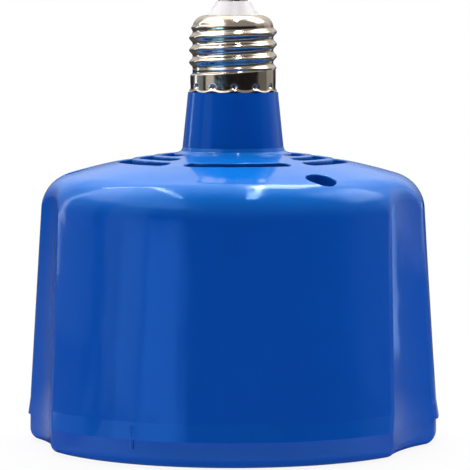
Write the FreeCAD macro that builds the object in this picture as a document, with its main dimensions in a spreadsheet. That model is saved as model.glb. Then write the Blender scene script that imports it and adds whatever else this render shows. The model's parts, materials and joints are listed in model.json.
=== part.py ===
import FreeCAD, Part
import collections
import math
import os
import re

import Sketcher

# Screw-in warming lamp: a moulded barrel with a fan and a heating coil inside.
# Millimetres, +Z up. The origin is at the middle of the flat underside.
# An azimuth is counted from the front (-Y) towards +X, in degrees.

os.makedirs("parts", exist_ok=True)
doc = FreeCAD.newDocument("warming_lamp")
V = FreeCAD.Vector

# Driving dimensions

DIMENSIONS = [
    # barrel
    ("barrel_radius", 61.3),
    ("barrel_draft", 3.7),
    ("seam_height", 7.6),
    ("foot_flare", 0.5),
    ("foot_band", 5.0),
    ("crown_height", 86.4),
    ("crown_slope", 4.7),
    ("crown_radius", 167.0),
    ("shoulder_radius", 11.2),
    ("wall", 2.2),
    # locating rib across the seam
    ("mark_azimuth", -28.0),
    ("mark_radius", 0.7),
    ("mark_sink", 0.3),
    ("mark_above", 3.6),
    ("mark_below", 2.8),
    # grip flutes
    ("flute_foot_depth", 4.2),
    ("flute_crown_depth", 1.7),
    ("flute_scoop", 65.0),
    ("flute_ridge", 6.0),
    ("flute_left", -75.0),
    ("flute_right", 64.0),
    ("flute_rear", 175.0),
    # neck
    ("neck_root_radius", 15.25),
    ("neck_top_radius", 13.45),
    ("neck_height", 17.9),
    ("neck_fillet", 1.5),
    ("neck_wall", 2.4),
    ("spigot_radius", 12.2),
    ("spigot_height", 5.7),
    # air slots
    ("slot_width", 4.2),
    ("slot_pitch", 6.3),
    ("slot_inset", 29.0),
    ("side_slot_inner", 68.0),
    ("side_slot_middle", 91.0),
    ("side_slot_outer", 97.0),
    ("end_slot", 48.0),
    ("end_slot_azimuth", 2.5),
    ("rim_rounding", 0.4),
    # case screws and their wells
    ("well_azimuth", 32.0),
    ("well_inset", 13.9),
    ("well_radius", 4.35),
    ("well_floor", 17.0),
    ("tower_radius", 5.95),
    ("tower_foot", 13.0),
    ("rib_thickness", 1.8),
    ("case_screw_radius", 1.75),
    ("case_screw_length", 22.0),
    ("case_screw_head", 3.5),
    ("case_screw_head_height", 2.6),
    ("screw_clearance", 0.25),
    ("thread_clearance", 0.03),
    ("seat_gap", 0.05),
    # bottom cover
    ("cover_step", 0.3),
    ("cover_floor", 2.2),
    ("cover_edge", 3.4),
    ("cover_ridge", 3.0),
    ("lip_height", 3.0),
    ("lip_wall", 1.4),
    ("lip_gap", 0.2),
    ("outlet_inset", 23.8),
    ("cover_boss_radius", 4.4),
    # outlet guard
    ("guard_overlap", 3.5),
    ("guard_rim_wire", 1.1),
    ("guard_wire", 0.9),
    ("guard_border", 7.5),
    # screw cap
    ("cap_collar_radius", 12.75),
    ("cap_collar_height", 6.1),
    ("cap_crest_radius", 13.1),
    ("cap_root_radius", 12.05),
    ("cap_pitch", 3.629),
    ("cap_sheet", 0.4),
    ("cap_thread_height", 13.6),
    ("cap_nose_height", 3.2),
    ("cap_eye_radius", 7.9),
    ("insulator_height", 4.1),
    ("insulator_top_radius", 5.1),
    ("contact_radius", 4.4),
    ("contact_height", 1.5),
    ("contact_rivet", 1.5),
    # fan duct
    ("duct_inset", 21.9),
    ("duct_wall", 1.8),
    ("duct_drop", 10.4),
    ("duct_height", 42.0),
    ("duct_rebate", 3.2),
    ("duct_ear_thickness", 2.5),
    ("duct_ear_radius", 4.0),
    ("duct_screw_azimuth", 92.0),
    ("duct_screw_offset", 6.1),
    ("duct_screw_radius", 1.5),
    ("duct_screw_length", 6.0),
    ("duct_screw_head", 2.8),
    ("duct_screw_head_height", 1.8),
    ("duct_boss_radius", 3.5),
    ("vane_thickness", 1.6),
    ("vane_height", 12.0),
    ("cup_wall", 1.6),
    ("cup_height", 16.0),
    ("cup_web", 2.0),
    ("motor_screw_circle", 8.0),
    ("motor_screw_radius", 1.3),
    ("motor_screw_head", 2.3),
    # motor
    ("motor_gap", 3.5),
    ("motor_length", 30.8),
    ("motor_radius", 12.2),
    ("motor_sheet", 0.8),
    ("motor_nose_radius", 3.1),
    ("motor_nose_height", 1.6),
    ("bush_radius", 2.2),
    ("bush_length", 4.0),
    ("shaft_radius", 1.15),
    ("shaft_clearance", 0.05),
    ("magnet_thickness", 2.2),
    ("magnet_height", 18.0),
    ("magnet_extent", 140.0),
    ("armature_radius", 8.5),
    ("armature_height", 16.0),
    ("armature_slot", 2.4),
    ("commutator_radius", 2.8),
    ("commutator_height", 4.5),
    ("end_cap_thickness", 2.0),
    ("end_cap_plug", 2.2),
    # fan
    ("fan_drop", 24.9),
    ("hub_height", 12.0),
    ("hub_radius", 14.5),
    ("hub_wall", 1.8),
    ("hub_boss_radius", 4.0),
    ("blade_gap", 2.2),
    ("blade_root_chord", 13.0),
    ("blade_tip_chord", 16.0),
    ("blade_root_pitch", 42.0),
    ("blade_tip_pitch", 26.0),
    ("blade_camber", 1.2),
    ("blade_thickness", 1.5),
    # heater
    ("sleeve_sheet", 0.6),
    ("sleeve_gap", 0.1),
    ("sleeve_flange", 2.6),
    ("liner_sheet", 0.5),
    ("heater_foot", 8.0),
    ("board_sheet", 0.8),
    ("board_inset", 6.4),
    ("board_tab", 2.5),
    ("board_recess_radius", 14.0),
    ("board_recess_depth", 16.0),
    ("board_fit", 0.1),
    ("coil_inset", 2.0),
    ("coil_wire_radius", 1.3),
    ("coil_pitch", 4.5),
    ("coil_turns", 3.75),
    ("coil_foot", 12.4),
    ("window_height", 6.0),
    ("window_extent", 34.0),
    ("eyelet_radius", 1.4),
    ("eyelet_height", 0.6),
    ("eyelet_inset", 10.0),
    # rectifier board and small parts
    ("rectifier_radius", 10.0),
    ("rectifier_thickness", 1.2),
    ("rectifier_drop", 3.0),
    ("diode_radius", 1.2),
    ("diode_length", 5.0),
    ("diode_pitch", 3.4),
    ("capacitor_length", 7.0),
    ("capacitor_width", 3.0),
    ("capacitor_height", 2.0),
    ("fuse_radius", 2.0),
    ("fuse_length", 10.0),
    ("cutout_length", 8.0),
    ("cutout_width", 5.0),
    ("cutout_height", 3.0),
    ("blade_strip", 0.4),
    ("blade_strip_length", 14.0),
    # leads
    ("lead_radius", 1.1),
    ("lead_azimuth", 8.0),
    ("lead_offset", 5.0),
]

# Sizes that follow from the ones above
FOLLOWING = {
    "crown_across": "(neck_root_radius - crown_radius*sin(crown_slope))",
    "crown_up": "(crown_height - crown_radius*cos(crown_slope))",
    "wall_offset": "((barrel_radius - crown_across)*cos(barrel_draft)"
                   " + (seam_height - crown_up)*sin(barrel_draft) - shoulder_radius)",
    "shoulder_rise": "sqrt((crown_radius - shoulder_radius)^2 - wall_offset^2)",
    "shoulder_across": "(crown_across + wall_offset*cos(barrel_draft) - shoulder_rise*sin(barrel_draft))",
    "shoulder_up": "(crown_up + wall_offset*sin(barrel_draft) + shoulder_rise*cos(barrel_draft))",
    "slot_radius": "(barrel_radius - slot_inset)",
    "well_circle": "(barrel_radius - well_inset)",
    "outlet_radius": "(barrel_radius - outlet_inset)",
    "guard_rim_radius": "(outlet_radius + guard_overlap)",
    "guard_pitch": "((guard_rim_radius - guard_border)/5)",
    "duct_bore": "(barrel_radius - duct_inset)",
    "duct_top": "(crown_height - duct_drop)",
    "duct_foot": "(duct_top - duct_height)",
    "duct_screw_circle": "(duct_bore + duct_screw_offset)",
    "hub_foot": "(crown_height - fan_drop)",
    "motor_front": "(hub_foot - motor_gap)",
    "blade_reach": "(duct_bore - blade_gap)",
    "heater_height": "(duct_foot - heater_foot)",
    "board_reach": "(duct_bore - board_inset)",
    "board_recess_floor": "(duct_foot - board_recess_depth)",
    "coil_radius": "(board_reach - coil_inset)",
    "eyelet_reach": "(board_reach - eyelet_inset)",
    "lead_circle": "(duct_bore + lead_offset)",
}

sheet = doc.addObject("Spreadsheet::Sheet", "sizes")
for row, (alias, number) in enumerate(DIMENSIONS, start=1):
    sheet.set(f"A{row}", alias)
    sheet.set(f"B{row}", str(number))
    sheet.setAlias(f"B{row}", alias)
doc.recompute()

ALIASES = {alias for alias, number in DIMENSIONS}
WORD = re.compile(r"[A-Za-z_]\w*")


def spelled_out(text):
    """Expression with each following size replaced and each alias in its sheet."""
    while any(word in FOLLOWING for word in WORD.findall(text)):
        text = WORD.sub(lambda m: FOLLOWING.get(m.group(), m.group()), text)
    return WORD.sub(lambda m: "sizes." + m.group() if m.group() in ALIASES else m.group(), text)


def size(text):
    """Present value of an expression in the sheet's aliases."""
    return float(sheet.evalExpression(spelled_out(text)))


def bind(thing, name, text):
    """Tie a property to an expression in the sheet's aliases."""
    thing.setExpression(name, spelled_out(text))


# Sketches and features


def new_body(label):
    body = doc.addObject("PartDesign::Body", label)
    body.Label = label
    return body


def origin_part(body, role):
    return next(f for f in body.Origin.OriginFeatures if f.Role == role)


def upright_sketch(body, name, azimuth="90", shift=""):
    """Sketch in the upright half-plane at an azimuth: x runs outwards, y runs up."""
    sketch = body.newObject("Sketcher::SketchObject", name)
    sketch.AttachmentSupport = [(origin_part(body, "XZ_Plane"), "")]
    sketch.MapMode = "FlatFace"
    if azimuth != "90":
        turned = FreeCAD.Rotation(V(0, 1, 0), 45)
        sketch.AttachmentOffset = FreeCAD.Placement(V(0, 0, 0), turned)
        bind(sketch, "AttachmentOffset.Rotation.Angle", f"{azimuth} - 90")
    if shift:
        angle = f"({azimuth} - 90)"
        bind(sketch, "AttachmentOffset.Base.x", f"({shift})*cos({angle})")
        bind(sketch, "AttachmentOffset.Base.z", f"-({shift})*sin({angle})")
    return sketch


def level_sketch(body, name, level, azimuth="90"):
    """Sketch in a level plane, with its x axis at an azimuth."""
    sketch = body.newObject("Sketcher::SketchObject", name)
    sketch.AttachmentSupport = [(origin_part(body, "XY_Plane"), "")]
    sketch.MapMode = "FlatFace"
    if azimuth != "90":
        turned = FreeCAD.Rotation(V(0, 0, 1), 45)
        sketch.AttachmentOffset = FreeCAD.Placement(V(0, 0, 0), turned)
        bind(sketch, "AttachmentOffset.Rotation.Angle", f"{azimuth} - 90")
    bind(sketch, "AttachmentOffset.Base.z", level)
    return sketch


def facing_sketch(body, name, distance, role="YZ_Plane"):
    """Sketch in a plane that faces along +X or -Y, at a distance from the axis."""
    sketch = body.newObject("Sketcher::SketchObject", name)
    sketch.AttachmentSupport = [(origin_part(body, role), "")]
    sketch.MapMode = "FlatFace"
    bind(sketch, "AttachmentOffset.Base.z", distance)
    return sketch


Bend = collections.namedtuple("Bend", "start centre")


def pin_point(sketch, item, end, across, up):
    """Fix a point of the sketch at two expressions; 0 puts it on the axis."""
    for text, kind, axis in ((across, "DistanceX", -2), (up, "DistanceY", -1)):
        if text is None:
            continue
        if text == "0":
            sketch.addConstraint(Sketcher.Constraint("PointOnObject", item, end, axis))
        else:
            index = sketch.addConstraint(Sketcher.Constraint(kind, -1, 1, item, end, size(text)))
            bind(sketch, f"Constraints[{index}]", text)


def left_arc(middle, start, end):
    """Arc from start, turning left about middle, to the one known coordinate of end."""
    radius = (start - middle).Length
    first = math.atan2(start.y - middle.y, start.x - middle.x)
    if end[0] is None:
        last = math.asin((size(end[1]) - middle.y) / radius)
    else:
        last = math.acos((size(end[0]) - middle.x) / radius)
    return Part.ArcOfCircle(Part.Circle(middle, V(0, 0, 1), radius), first, last)


def outline(sketch, corners):
    """Closed run of edges through corners given as pairs of expressions.

    A Bend starts an arc that turns left about its centre to the next corner,
    where one coordinate is None, because the radius already settles it.
    """
    spots = [corner if isinstance(corner, Bend) else Bend(corner, None) for corner in corners]
    count = len(spots)
    points = [V(size(corner[0]), size(corner[1]), 0) if None not in corner else None
              for corner, centre in spots]
    arcs = {}
    for i, (corner, centre) in enumerate(spots):
        if centre:
            middle = V(size(centre[0]), size(centre[1]), 0)
            arcs[i] = left_arc(middle, points[i], spots[(i + 1) % count][0])
            points[(i + 1) % count] = arcs[i].EndPoint
    items = []
    for i in range(count):
        edge = arcs.get(i) or Part.LineSegment(points[i], points[(i + 1) % count])
        items.append(sketch.addGeometry(edge, False))
    for i, (corner, centre) in enumerate(spots):
        meet = Sketcher.Constraint("Coincident", items[i], 2, items[(i + 1) % count], 1)
        sketch.addConstraint(meet)
        pin_point(sketch, items[i], 1, *corner)
        if centre:
            pin_point(sketch, items[i], 3, *centre)


def circle(sketch, across, up, radius):
    middle = V(size(across), size(up), 0)
    ring = sketch.addGeometry(Part.Circle(middle, V(0, 0, 1), size(radius)), False)
    pin_point(sketch, ring, 3, across, up)
    index = sketch.addConstraint(Sketcher.Constraint("Radius", ring, size(radius)))
    bind(sketch, f"Constraints[{index}]", radius)


def box_corners(left, right, low, high):
    return [(left, low), (right, low), (right, high), (left, high)]


def turn(body, sketch, name, kind="PartDesign::Revolution", angle="360"):
    """Revolution or Groove about the sketch's upright axis."""
    feature = body.newObject(kind, name)
    feature.Profile = sketch
    feature.ReferenceAxis = (sketch, ["V_Axis"])
    feature.Angle = 360
    if angle != "360":
        feature.Midplane = True
        bind(feature, "Angle", angle)
    return feature


def turned_body(label, corners):
    body = new_body(label)
    sketch = upright_sketch(body, label + "_section")
    outline(sketch, corners)
    turn(body, sketch, label + "_turn")
    return body


def pad(body, sketch, name, length, both_ways=False):
    feature = body.newObject("PartDesign::Pad", name)
    feature.Profile = sketch
    feature.Midplane = both_ways
    bind(feature, "Length", length)
    return feature


def pocket(body, sketch, name, length, upwards=False):
    feature = body.newObject("PartDesign::Pocket", name)
    feature.Profile = sketch
    feature.Reversed = upwards
    bind(feature, "Length", length)
    return feature


def around(body, features, name, count):
    """Repeat features round the upright axis."""
    pattern = body.newObject("PartDesign::PolarPattern", name)
    pattern.Originals = features
    pattern.Axis = (origin_part(body, "Z_Axis"), [""])
    pattern.Angle = 360
    pattern.Occurrences = count
    body.Tip = pattern
    return pattern


def combine(body, tool, name, kind):
    feature = body.newObject("PartDesign::Boolean", name)
    feature.Type = kind
    feature.setObjects([tool])
    return feature


def round_edges(body, name, radius, wanted):
    """Fillet the edges of the body's last feature that the test picks out."""
    doc.recompute()
    base = body.Tip
    names = [f"Edge{i}" for i, edge in enumerate(base.Shape.Edges, start=1) if wanted(edge)]
    feature = body.newObject("PartDesign::Fillet", name)
    feature.Base = (base, names)
    bind(feature, "Radius", radius)
    return feature


# The barrel's outer skin and the forms that follow it inside. The crown is a
# large arc and the shoulder a small one. The shoulder meets the crown and the
# drafted wall smoothly, so a form moved inwards keeps both centres.


def wall_radius(height):
    return f"(barrel_radius - ({height} - seam_height)*tan(barrel_draft))"


def crown_and_shoulder(inset):
    """Arcs from the wall line over the shoulder and the crown, moved inwards by inset."""
    start = (f"shoulder_across + (shoulder_radius - {inset})*cos(barrel_draft)",
             f"shoulder_up + (shoulder_radius - {inset})*sin(barrel_draft)")
    share = f"(crown_radius - {inset})/(crown_radius - shoulder_radius)"
    meet = f"crown_across + (shoulder_across - crown_across)*{share}"
    return [
        Bend(start, ("shoulder_across", "shoulder_up")),
        Bend((meet, None), ("crown_across", "crown_up")),
    ]


def crown_level(radius, inset):
    """Height of the crown's arc at a radius."""
    return f"(crown_up + sqrt((crown_radius - {inset})^2 - ({radius} - crown_across)^2))"


def flute(body, side, inset):
    """Cut one grip flute down the wall: a large cylinder that leans inwards with the draft."""
    foot = f"({wall_radius('0')} - flute_foot_depth)"
    crown = f"({wall_radius('crown_height')} - flute_crown_depth)"
    lean = f"atan(({foot} - {crown})/crown_height)"
    middle = f"{foot} + flute_scoop/cos({lean})"
    cut = body.newObject("PartDesign::SubtractiveCylinder", f"{body.Label}_{side}_flute")
    bind(cut, "Radius", f"flute_scoop + {inset}")
    bind(cut, "Height", "crown_height*1.5")
    bind(cut, "Placement",
         f"placement(vector(0; 0; 0); rotation(vector(0; 0; 1); flute_{side} - 90))"
         f" * placement(vector({middle}; 0; 0); rotation(vector(0; 1; 0); -{lean}))"
         " * placement(vector(0; 0; -seam_height*2); rotation(vector(0; 0; 1); 0))")


def fluted_body(label, corners, inset):
    """Turned form with the three flutes, for the skin and for what follows it."""
    body = turned_body(label, corners)
    for side in ("left", "right", "rear"):
        flute(body, side, inset)
    return body


def round_ridges(body, radius):
    """Round the edges where the flutes meet the barrel, all but the level ones."""
    doc.recompute()
    round_faces = [f for f in body.Tip.Shape.Faces if isinstance(f.Surface, Part.Cylinder)]
    scoops = [f for f in round_faces if f.Surface.Radius > size("flute_scoop") - 1]
    rims = [e for f in scoops for e in f.Edges if e.BoundBox.ZLength > 0.5]
    round_edges(body, body.Label + "_ridges", radius,
                lambda e: any(e.isSame(rim) for rim in rims))


# Housing

NECK_TOP = "(crown_height + neck_height)"
SPIGOT_TOP = "(crown_height + neck_height + spigot_height)"

housing = fluted_body("housing", [
    ("0", "seam_height"),
    ("barrel_radius + foot_flare", "seam_height"),
    (wall_radius("(seam_height + foot_band)"), "seam_height + foot_band"),
    *crown_and_shoulder("0"),
    ("neck_root_radius + neck_fillet", None),
    ("neck_root_radius + neck_fillet*0.2", "crown_height + neck_fillet*0.3"),
    ("neck_root_radius - neck_fillet*0.1", "crown_height + neck_fillet"),
    ("neck_top_radius", NECK_TOP),
    ("spigot_radius", NECK_TOP),
    ("spigot_radius", SPIGOT_TOP),
    ("0", SPIGOT_TOP),
], "0")
round_ridges(housing, "flute_ridge")

BORE_ROOT = "(neck_root_radius - neck_wall)"
BORE_TOP = "(neck_top_radius - neck_wall - 1)"
housing_hollow = fluted_body("housing_hollow", [
    ("0", "seam_height - wall"),
    (f"{wall_radius('(seam_height - wall)')} - wall/cos(barrel_draft)", "seam_height - wall"),
    *crown_and_shoulder("wall"),
    (BORE_ROOT, None),
    (BORE_TOP, f"{SPIGOT_TOP} + wall"),
    ("0", f"{SPIGOT_TOP} + wall"),
], "wall")

tower = level_sketch(housing_hollow, "tower_section", "tower_foot", "well_azimuth")
circle(tower, "well_circle", "0", "tower_radius")
tower_cut = pocket(housing_hollow, tower, "tower", "crown_height", True)
around(housing_hollow, [tower_cut], "towers", 3)
rib = level_sketch(housing_hollow, "rib_section", "tower_foot", "well_azimuth")
outline(rib, box_corners("well_circle", "barrel_radius", "-rib_thickness/2", "rib_thickness/2"))
rib_cut = pocket(housing_hollow, rib, "tower_rib", "crown_height", True)
around(housing_hollow, [rib_cut], "tower_ribs", 3)
boss = level_sketch(housing_hollow, "boss_section", "duct_top + seat_gap", "duct_screw_azimuth")
circle(boss, "duct_screw_circle", "0", "duct_boss_radius")
boss_cut = pocket(housing_hollow, boss, "duct_boss", "crown_height", True)
around(housing_hollow, [boss_cut], "duct_bosses", 3)
combine(housing, housing_hollow, "hollow_out", "Cut")

well = level_sketch(housing, "well_section", "crown_height", "well_azimuth")
circle(well, "well_circle", "0", "well_radius")
well_cut = pocket(housing, well, "well", "crown_height - well_floor")
around(housing, [well_cut], "wells", 3)
passage = level_sketch(housing, "passage_section", "well_floor", "well_azimuth")
circle(passage, "well_circle", "0", "case_screw_radius + screw_clearance")
passage_cut = pocket(housing, passage, "screw_passage", "well_floor")
around(housing, [passage_cut], "screw_passages", 3)
pilot = level_sketch(housing, "pilot_section", "duct_top", "duct_screw_azimuth")
circle(pilot, "duct_screw_circle", "0", "duct_screw_radius + thread_clearance")
PILOT_DEPTH = "duct_screw_length - duct_ear_thickness + seat_gap"
pilot_cut = pocket(housing, pilot, "boss_pilot", PILOT_DEPTH, True)
around(housing, [pilot_cut], "boss_pilots", 3)


def air_slot(name, azimuth, ring, extent):
    """Arc slot through the crown; ring 0 is the outermost."""
    sketch = upright_sketch(housing, name + "_section", azimuth)
    middle = f"(slot_radius - {ring}*slot_pitch)"
    outline(sketch, box_corners(f"{middle} - slot_width/2", f"{middle} + slot_width/2",
                                "duct_top", "crown_height + wall"))
    turn(housing, sketch, name, "PartDesign::Groove", extent)
    for sign in ("-", "+"):
        angle = f"({azimuth} {sign} {extent}/2)"
        circle(slot_ends, f"{middle}*sin({angle})", f"-{middle}*cos({angle})", "slot_width/2")


slot_ends = level_sketch(housing, "slot_ends_section", "crown_height + wall")
for side, azimuth in (("right", "end_slot_azimuth + 90"), ("left", "end_slot_azimuth - 90")):
    for ring, extent in enumerate(("side_slot_outer", "side_slot_middle", "side_slot_inner")):
        air_slot(f"{side}_slot_{ring}", azimuth, ring, extent)
air_slot("front_slot", "end_slot_azimuth + 0", 0, "end_slot")
air_slot("rear_slot", "end_slot_azimuth + 180", 0, "end_slot")
pocket(housing, slot_ends, "slot_ends", "crown_height + wall - duct_top")


def on_crown(edge):
    """Whether an edge lies on the crown or shoulder, away from the neck and the flutes."""
    middle = edge.valueAt((edge.FirstParameter + edge.LastParameter) / 2)
    radius = math.hypot(middle.x, middle.y)
    rims = (("slot_radius", "slot_pitch*2 + slot_width/2"), ("well_circle", "well_radius"))
    near = any(abs(radius - size(ring)) < size(reach) + 0.1 for ring, reach in rims)
    level = size(crown_level(radius, "0"))
    return near and abs(middle.z - level) < 0.01


round_edges(housing, "slot_and_well_rims", "rim_rounding", on_crown)


def locating_rib(body, name, foot, height):
    """Half-round rib up the outside of the wall."""
    sketch = level_sketch(body, name + "_section", foot, "mark_azimuth")
    circle(sketch, "barrel_radius - mark_sink", "0", "mark_radius")
    pad(body, sketch, name, height)


locating_rib(housing, "upper_mark", "seam_height", "mark_above")

# Bottom cover

LIP_INSET = "(wall + lip_gap)"
LIP_TOP = "(seam_height + lip_height)"
LIP_RADIUS = f"({wall_radius(LIP_TOP)} - {LIP_INSET})"
HOLLOW_RADIUS = f"({LIP_RADIUS} - lip_wall)"

EDGE_CENTRE = "barrel_radius - cover_step - cover_edge"
bottom_cover = fluted_body("bottom_cover", [
    ("0", "0"),
    Bend((EDGE_CENTRE, "0"), (EDGE_CENTRE, "cover_edge")),
    (None, "cover_edge"),
    ("barrel_radius - cover_step", "seam_height"),
    ("0", "seam_height"),
], "cover_step")
round_ridges(bottom_cover, "cover_ridge")
cover_lip = fluted_body("cover_lip", [
    ("0", "cover_floor"),
    (LIP_RADIUS, "cover_floor"),
    (LIP_RADIUS, LIP_TOP),
    ("0", LIP_TOP),
], LIP_INSET)
combine(bottom_cover, cover_lip, "lip", "Fuse")
cover_hollow = fluted_body("cover_hollow", [
    ("0", "cover_floor"),
    (HOLLOW_RADIUS, "cover_floor"),
    (HOLLOW_RADIUS, f"{LIP_TOP} + wall"),
    ("0", f"{LIP_TOP} + wall"),
], f"({LIP_INSET} + lip_wall)")
combine(bottom_cover, cover_hollow, "cover_hollow_out", "Cut")
stud = level_sketch(bottom_cover, "stud_section", "cover_floor/2", "well_azimuth")
circle(stud, "well_circle", "0", "cover_boss_radius")
stud_pad = pad(bottom_cover, stud, "screw_stud", "tower_foot - seat_gap - cover_floor/2")
around(bottom_cover, [stud_pad], "screw_studs", 3)
core = level_sketch(bottom_cover, "core_section", "tower_foot", "well_azimuth")
circle(core, "well_circle", "0", "case_screw_radius + thread_clearance")
core_cut = pocket(bottom_cover, core, "screw_core", "tower_foot - cover_floor/2")
around(bottom_cover, [core_cut], "screw_cores", 3)
outlet = level_sketch(bottom_cover, "outlet_section", "cover_floor")
circle(outlet, "0", "0", "outlet_radius")
pocket(bottom_cover, outlet, "outlet", "cover_floor*2")
locating_rib(bottom_cover, "lower_mark", "seam_height - mark_below", "mark_below")


# Screws


def screw_ring(label, circle_at, azimuth, head_level, head, shank, count, upwards):
    """Screws round the axis: a pan head and a shank that points down or up."""
    body = new_body(label)
    sketch = upright_sketch(body, label + "_section", azimuth, circle_at)
    head_radius, head_height = head
    shank_radius, shank_length = shank
    sign = "-" if upwards else "+"
    back = "+" if upwards else "-"
    outline(sketch, [
        ("0", f"{head_level} {sign} {head_height}"),
        (f"{head_radius}*0.6", f"{head_level} {sign} {head_height}"),
        (head_radius, f"{head_level} {sign} {head_height}*0.6"),
        (head_radius, head_level),
        (shank_radius, head_level),
        (shank_radius, f"{head_level} {back} ({shank_length} - {shank_radius})"),
        ("0", f"{head_level} {back} {shank_length}"),
    ])
    around(body, [turn(body, sketch, label + "_turn")], label + "_ring", count)


screw_ring("case_screws", "well_circle", "well_azimuth", "(well_floor + seat_gap)",
           ("case_screw_head", "case_screw_head_height"),
           ("case_screw_radius", "(case_screw_length - 7)"), 3, False)
screw_ring("duct_screws", "duct_screw_circle", "duct_screw_azimuth",
           "(duct_top - duct_ear_thickness - seat_gap)",
           ("duct_screw_head", "duct_screw_head_height"),
           ("duct_screw_radius", "duct_screw_length"), 3, True)
screw_ring("motor_screws", "motor_screw_circle", "45",
           "(motor_front + cup_web + seat_gap)",
           ("motor_screw_head", "(motor_screw_head*0.6)"),
           ("motor_screw_radius", "(cup_web + motor_sheet + seat_gap)"), 2, False)

# Screw cap

COLLAR_TOP = f"({NECK_TOP} + cap_collar_height)"
THREAD_TOP = f"({COLLAR_TOP} + cap_thread_height)"
CAP_EYE = f"({THREAD_TOP} + cap_nose_height)"

skin = [("cap_collar_radius", f"{NECK_TOP} + seat_gap"), ("cap_collar_radius", COLLAR_TOP)]
for wave in range(3):
    for radius, step in (("root", 0.15), ("root", 0.35), ("crest", 0.65), ("crest", 0.85)):
        height = f"{COLLAR_TOP} + cap_pitch*{wave + step}"
        skin.append((f"cap_{radius}_radius", height))
skin += [
    ("cap_root_radius", f"{COLLAR_TOP} + cap_pitch*3.15"),
    ("cap_root_radius", THREAD_TOP),
    ("cap_root_radius*0.6 + cap_eye_radius*0.4", f"{THREAD_TOP} + cap_nose_height*0.55"),
    ("cap_root_radius*0.3 + cap_eye_radius*0.7", f"{THREAD_TOP} + cap_nose_height*0.87"),
    ("cap_eye_radius", CAP_EYE),
]
lining = [
    ("cap_eye_radius", f"{CAP_EYE} - cap_sheet"),
    ("cap_root_radius*0.6 + cap_eye_radius*0.4 - cap_sheet", f"{THREAD_TOP} + cap_nose_height*0.4"),
    ("cap_root_radius - cap_sheet", THREAD_TOP),
    ("cap_root_radius - cap_sheet", COLLAR_TOP),
    ("cap_collar_radius - cap_sheet", f"{COLLAR_TOP} - cap_sheet"),
    ("cap_collar_radius - cap_sheet", f"{NECK_TOP} + seat_gap"),
]
turned_body("cap_shell", skin + lining)

INSULATOR_TOP = f"({CAP_EYE} + insulator_height)"
INSULATOR_FOOT = f"({THREAD_TOP} + cap_nose_height*0.25)"
turned_body("cap_insulator", [
    ("contact_rivet + seat_gap", INSULATOR_FOOT),
    ("cap_eye_radius - seat_gap*4", INSULATOR_FOOT),
    ("cap_eye_radius - seat_gap*4", CAP_EYE),
    ("insulator_top_radius", INSULATOR_TOP),
    ("contact_rivet + seat_gap", INSULATOR_TOP),
])
turned_body("centre_contact", [
    ("0", f"{CAP_EYE}"),
    ("contact_rivet", f"{CAP_EYE}"),
    ("contact_rivet", f"{INSULATOR_TOP} + seat_gap"),
    ("contact_radius", f"{INSULATOR_TOP} + seat_gap"),
    ("contact_radius", f"{INSULATOR_TOP} + contact_height*0.4"),
    ("contact_radius*0.6", f"{INSULATOR_TOP} + contact_height"),
    ("0", f"{INSULATOR_TOP} + contact_height"),
])

# Fan duct with its stator vanes and motor cup

DUCT_OUTER = "(duct_bore + duct_wall)"
SLEEVE_OUTER = "(duct_bore + sleeve_gap + sleeve_sheet)"
fan_duct = turned_body("fan_duct", [
    (f"{SLEEVE_OUTER} + sleeve_gap", "duct_foot"),
    (DUCT_OUTER, "duct_foot"),
    (DUCT_OUTER, "duct_top"),
    ("duct_bore", "duct_top"),
    ("duct_bore", "duct_foot + duct_rebate"),
    (f"{SLEEVE_OUTER} + sleeve_gap", "duct_foot + duct_rebate"),
])
CUP_BORE = "(motor_radius + seat_gap*3)"
vane = level_sketch(fan_duct, "vane_section", "motor_front - vane_height", "36")
outline(vane, box_corners(f"{CUP_BORE} + cup_wall/2", "duct_bore + duct_wall/4",
                          "-vane_thickness/2", "vane_thickness/2"))
vane_pad = pad(fan_duct, vane, "stator_vane", "vane_height")
around(fan_duct, [vane_pad], "stator_vanes", 5)
cup = upright_sketch(fan_duct, "cup_section")
outline(cup, [
    ("motor_nose_radius + seat_gap*3", "motor_front + seat_gap"),
    (CUP_BORE, "motor_front + seat_gap"),
    (CUP_BORE, "motor_front - cup_height"),
    (f"{CUP_BORE} + cup_wall", "motor_front - cup_height"),
    (f"{CUP_BORE} + cup_wall", "motor_front + cup_web"),
    ("motor_nose_radius + seat_gap*3", "motor_front + cup_web"),
])
turn(fan_duct, cup, "motor_cup")
ear = level_sketch(fan_duct, "ear_section", "duct_top - duct_ear_thickness", "duct_screw_azimuth")
outline(ear, box_corners("duct_bore + duct_wall/2", "duct_screw_circle",
                         "-duct_ear_radius", "duct_ear_radius"))
ear_pad = pad(fan_duct, ear, "duct_ear", "duct_ear_thickness")
tip = level_sketch(fan_duct, "ear_tip_section", "duct_top - duct_ear_thickness", "duct_screw_azimuth")
circle(tip, "duct_screw_circle", "0", "duct_ear_radius")
tip_pad = pad(fan_duct, tip, "duct_ear_tip", "duct_ear_thickness")
around(fan_duct, [ear_pad, tip_pad], "duct_ears", 3)
hole = level_sketch(fan_duct, "ear_hole_section", "duct_top", "duct_screw_azimuth")
circle(hole, "duct_screw_circle", "0", "duct_screw_radius + screw_clearance")
hole_cut = pocket(fan_duct, hole, "ear_hole", "duct_ear_thickness")
around(fan_duct, [hole_cut], "ear_holes", 3)
fixing = level_sketch(fan_duct, "fixing_section", "motor_front + cup_web", "45")
circle(fixing, "motor_screw_circle", "0", "motor_screw_radius + screw_clearance")
fixing_cut = pocket(fan_duct, fixing, "motor_fixing", "cup_web")
around(fan_duct, [fixing_cut], "motor_fixings", 2)

# Motor

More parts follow.
